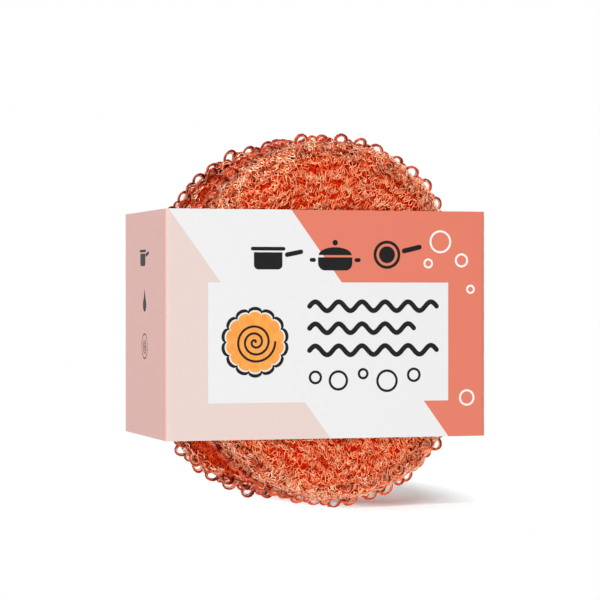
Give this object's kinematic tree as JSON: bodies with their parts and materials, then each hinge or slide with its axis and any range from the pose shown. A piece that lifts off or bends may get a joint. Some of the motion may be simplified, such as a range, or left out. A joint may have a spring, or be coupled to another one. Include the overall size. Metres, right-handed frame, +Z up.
{
  "type": "pot scrubber pack",
  "caption": "Knitted copper pot scrubbers standing in an open-ended printed card sleeve; each is an oval, loop-edged pad with a mesh core and a wire tie, and slides out at the top.",
  "frame": {"origin": "middle of the footprint, on the surface that the scrubbers stand on", "axes": "+Z up, the printed front panel faces -Y, +X to the right of that panel as seen from the front"},
  "size_m": [0.082, 0.046, 0.094],
  "materials": {
    "printed_card": "matt printed carton board in pale pink, white and salmon, bare grey-white inside",
    "dry_glue": "thin dried white glue",
    "copper_knit": "bright copper-coated flattened wire, knitted and crinkled",
    "golden_mesh": "brass-coloured flattened wire mesh, rolled",
    "tie_wire": "bright copper-coated round wire"
  },
  "bodies": {
    "sleeve": {"card_sleeve": "printed_card", "glue_strip": "dry_glue"},
    "front_scrubber": {"front_scrubber_cover": "copper_knit", "front_scrubber_core": "golden_mesh", "front_scrubber_tie": "tie_wire"},
    "rear_scrubber": {"rear_scrubber_cover": "copper_knit", "rear_scrubber_core": "golden_mesh", "rear_scrubber_tie": "tie_wire"}
  },
  "joints": [
    {"name": "front_scrubber_slide", "type": "slide", "parent": "sleeve", "child": "front_scrubber", "axis": [0, 0, 1], "range_m": [0, 0.08]},
    {"name": "rear_scrubber_slide", "type": "slide", "parent": "sleeve", "child": "rear_scrubber", "axis": [0, 0, 1], "range_m": [0, 0.08]}
  ]
}
